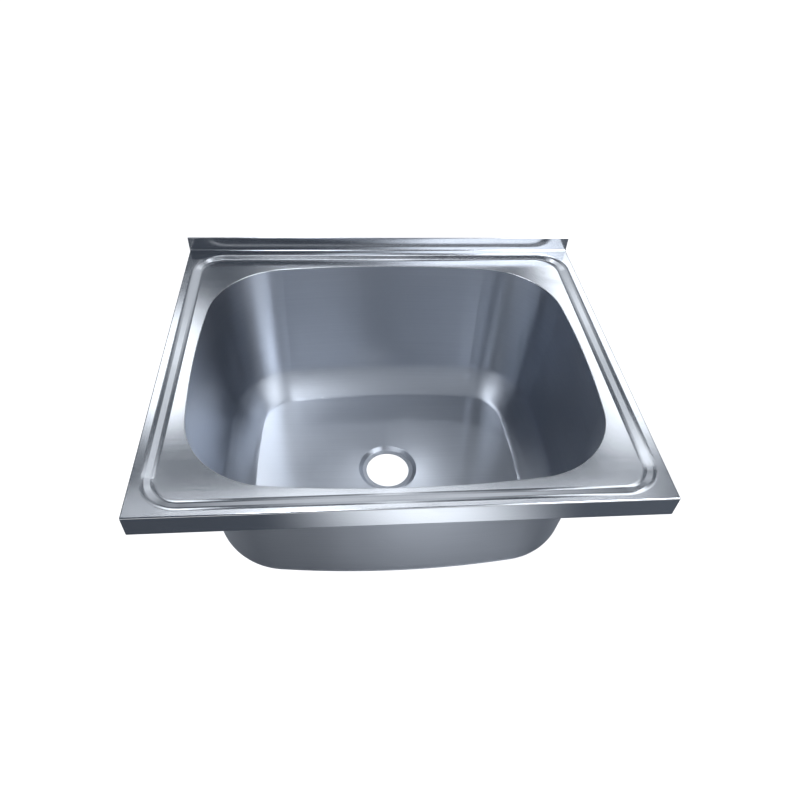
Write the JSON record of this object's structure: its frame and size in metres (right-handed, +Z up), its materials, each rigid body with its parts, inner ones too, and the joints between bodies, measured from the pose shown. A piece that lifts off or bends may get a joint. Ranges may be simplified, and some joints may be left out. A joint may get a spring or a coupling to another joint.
{
  "type": "stainless steel sink",
  "caption": "Lay-on pressed steel sink with one deep round-cornered bowl, a stepped deck, folded aprons, a low rear upstand, a bare drain hole and swing clips under the rim.",
  "frame": {"origin": "middle of the plane on which the folded rim sits on its cabinet, midway between the side aprons", "axes": "+X to the right seen from the front, +Y to the rear upstand, +Z up"},
  "size_m": [0.6, 0.502, 0.2625],
  "materials": {
    "stainless_deck": "satin polished",
    "stainless_bowl": "satin polished, drawn",
    "galvanised_channel": "galvanised",
    "zinc_fastener": "zinc plated",
    "zinc_arm": "zinc plated, pressed",
    "brass_screw": "turned",
    "bitumen_pad": "matt, pebbled"
  },
  "bodies": {
    "sink": {"deck": "stainless_deck", "bowl": "stainless_bowl", "left_clip_rail": "galvanised_channel", "right_clip_rail": "galvanised_channel", "front_stiffener": "galvanised_channel", "rear_stiffener": "galvanised_channel", "left_sound_pad": "bitumen_pad", "right_sound_pad": "bitumen_pad", "rear_sound_pad": "bitumen_pad", "floor_sound_pad": "bitumen_pad", "earth_tag": "galvanised_channel", "earth_screw": "brass_screw", "earth_nut": "brass_screw", "front_left_corner_bracket": "galvanised_channel", "front_right_corner_bracket": "galvanised_channel", "rear_left_corner_bracket": "galvanised_channel", "rear_right_corner_bracket": "galvanised_channel"},
    "front_left_bolt_body": {"front_left_t_bolt": "zinc_fastener"},
    "front_left_lift_body": {"front_left_washer": "zinc_fastener"},
    "front_left_arm_body": {"front_left_clamp_arm": "zinc_arm"},
    "front_left_nut_body": {"front_left_wing_nut": "zinc_fastener"},
    "front_right_bolt_body": {"front_right_t_bolt": "zinc_fastener"},
    "front_right_lift_body": {"front_right_washer": "zinc_fastener"},
    "front_right_arm_body": {"front_right_clamp_arm": "zinc_arm"},
    "front_right_nut_body": {"front_right_wing_nut": "zinc_fastener"},
    "rear_left_bolt_body": {"rear_left_t_bolt": "zinc_fastener"},
    "rear_left_lift_body": {"rear_left_washer": "zinc_fastener"},
    "rear_left_arm_body": {"rear_left_clamp_arm": "zinc_arm"},
    "rear_left_nut_body": {"rear_left_wing_nut": "zinc_fastener"},
    "rear_right_bolt_body": {"rear_right_t_bolt": "zinc_fastener"},
    "rear_right_lift_body": {"rear_right_washer": "zinc_fastener"},
    "rear_right_arm_body": {"rear_right_clamp_arm": "zinc_arm"},
    "rear_right_nut_body": {"rear_right_wing_nut": "zinc_fastener"}
  },
  "joints": [
    {"name": "front_left_bolt_slide", "type": "slide", "parent": "sink", "child": "front_left_bolt_body", "axis": [0, 1, 0], "range_m": [-0.06, 0.06]},
    {"name": "front_left_clamp_lift", "type": "slide", "parent": "front_left_bolt_body", "child": "front_left_lift_body", "axis": [0, 0, 1], "range_m": [0, 0.015]},
    {"name": "front_left_arm_swing", "type": "hinge", "parent": "front_left_lift_body", "child": "front_left_arm_body", "pos_m": [-0.274, -0.094, -0.022], "axis": [0, 0, 1], "range_deg": [0, 90]},
    {"name": "front_left_nut_turn", "type": "hinge", "parent": "front_left_lift_body", "child": "front_left_nut_body", "pos_m": [-0.274, -0.094, -0.022], "axis": [0, 0, 1], "range_deg": [0, 5400]},
    {"name": "front_right_bolt_slide", "type": "slide", "parent": "sink", "child": "front_right_bolt_body", "axis": [0, 1, 0], "range_m": [-0.06, 0.06]},
    {"name": "front_right_clamp_lift", "type": "slide", "parent": "front_right_bolt_body", "child": "front_right_lift_body", "axis": [0, 0, 1], "range_m": [0, 0.015]},
    {"name": "front_right_arm_swing", "type": "hinge", "parent": "front_right_lift_body", "child": "front_right_arm_body", "pos_m": [0.274, -0.094, -0.022], "axis": [0, 0, -1], "range_deg": [0, 90]},
    {"name": "front_right_nut_turn", "type": "hinge", "parent": "front_right_lift_body", "child": "front_right_nut_body", "pos_m": [0.274, -0.094, -0.022], "axis": [0, 0, 1], "range_deg": [0, 5400]},
    {"name": "rear_left_bolt_slide", "type": "slide", "parent": "sink", "child": "rear_left_bolt_body", "axis": [0, 1, 0], "range_m": [-0.06, 0.06]},
    {"name": "rear_left_clamp_lift", "type": "slide", "parent": "rear_left_bolt_body", "child": "rear_left_lift_body", "axis": [0, 0, 1], "range_m": [0, 0.015]},
    {"name": "rear_left_arm_swing", "type": "hinge", "parent": "rear_left_lift_body", "child": "rear_left_arm_body", "pos_m": [-0.274, 0.086, -0.022], "axis": [0, 0, -1], "range_deg": [0, 90]},
    {"name": "rear_left_nut_turn", "type": "hinge", "parent": "rear_left_lift_body", "child": "rear_left_nut_body", "pos_m": [-0.274, 0.086, -0.022], "axis": [0, 0, 1], "range_deg": [0, 5400]},
    {"name": "rear_right_bolt_slide", "type": "slide", "parent": "sink", "child": "rear_right_bolt_body", "axis": [0, 1, 0], "range_m": [-0.06, 0.06]},
    {"name": "rear_right_clamp_lift", "type": "slide", "parent": "rear_right_bolt_body", "child": "rear_right_lift_body", "axis": [0, 0, 1], "range_m": [0, 0.015]},
    {"name": "rear_right_arm_swing", "type": "hinge", "parent": "rear_right_lift_body", "child": "rear_right_arm_body", "pos_m": [0.274, 0.086, -0.022], "axis": [0, 0, 1], "range_deg": [0, 90]},
    {"name": "rear_right_nut_turn", "type": "hinge", "parent": "rear_right_lift_body", "child": "rear_right_nut_body", "pos_m": [0.274, 0.086, -0.022], "axis": [0, 0, 1], "range_deg": [0, 5400]}
  ],
  "couplings": [
    {"joint": "front_left_clamp_lift", "follows": "front_left_nut_turn", "m_per_rad": 0.00015915},
    {"joint": "front_right_clamp_lift", "follows": "front_right_nut_turn", "m_per_rad": 0.00015915},
    {"joint": "rear_left_clamp_lift", "follows": "rear_left_nut_turn", "m_per_rad": 0.00015915},
    {"joint": "rear_right_clamp_lift", "follows": "rear_right_nut_turn", "m_per_rad": 0.00015915}
  ]
}
